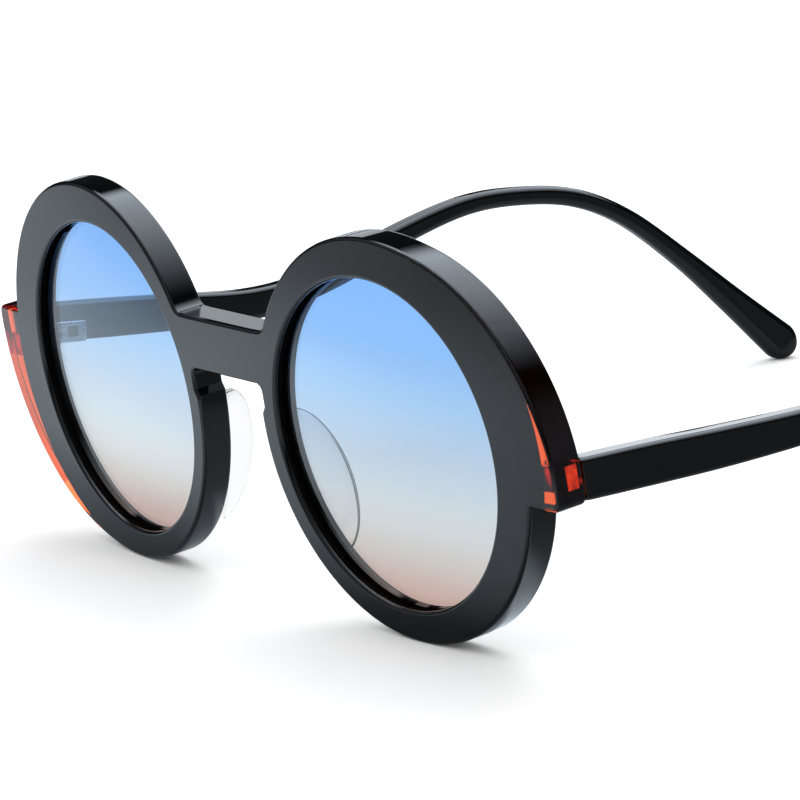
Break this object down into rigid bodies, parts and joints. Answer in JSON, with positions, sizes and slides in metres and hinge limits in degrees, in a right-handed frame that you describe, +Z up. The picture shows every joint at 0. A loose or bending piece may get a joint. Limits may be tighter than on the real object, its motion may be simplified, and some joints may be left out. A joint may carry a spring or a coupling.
{
  "type": "round sunglasses",
  "caption": "Round acetate sunglasses with thick black rims, translucent orange wings laminated to their outer sides, gradient lenses and folding temples with an ear bend.",
  "frame": {"origin": "middle of the footprint on the ground, with the glasses open and standing on both rims and both temple tips", "axes": "+Z up, the rims face -Y, the temples run back towards +Y, and the right-hand temple in the picture is at +X"},
  "size_m": [0.1488, 0.1552, 0.0601],
  "materials": {
    "black_acetate": "polished black cellulose acetate",
    "orange_red_acetate": "polished translucent orange-red cellulose acetate",
    "gradient_lens": "clear tinted lens, blue at the top fading to pale pink at the bottom",
    "clear_acetate": "polished clear acetate",
    "hinge_steel": "satin nickel silver"
  },
  "bodies": {
    "front": {"front_frame": "black_acetate", "left_crescent": "orange_red_acetate", "left_lens": "gradient_lens", "left_nose_pad": "clear_acetate", "left_front_hinge": "hinge_steel", "left_hinge_screw": "hinge_steel", "right_crescent": "orange_red_acetate", "right_lens": "gradient_lens", "right_nose_pad": "clear_acetate", "right_front_hinge": "hinge_steel", "right_hinge_screw": "hinge_steel"},
    "left_temple": {"left_temple": "black_acetate", "left_temple_hinge": "hinge_steel", "left_core_wire": "hinge_steel"},
    "right_temple": {"right_temple": "black_acetate", "right_temple_hinge": "hinge_steel", "right_core_wire": "hinge_steel"}
  },
  "joints": [
    {"name": "left_fold", "type": "hinge", "parent": "front", "child": "left_temple", "pos_m": [-0.0686, -0.06555, 0.03056], "axis": [0, 0.0785, -0.9969], "range_deg": [0, 88]},
    {"name": "right_fold", "type": "hinge", "parent": "front", "child": "right_temple", "pos_m": [0.0686, -0.06555, 0.03056], "axis": [0, -0.0785, 0.9969], "range_deg": [0, 79]}
  ]
}
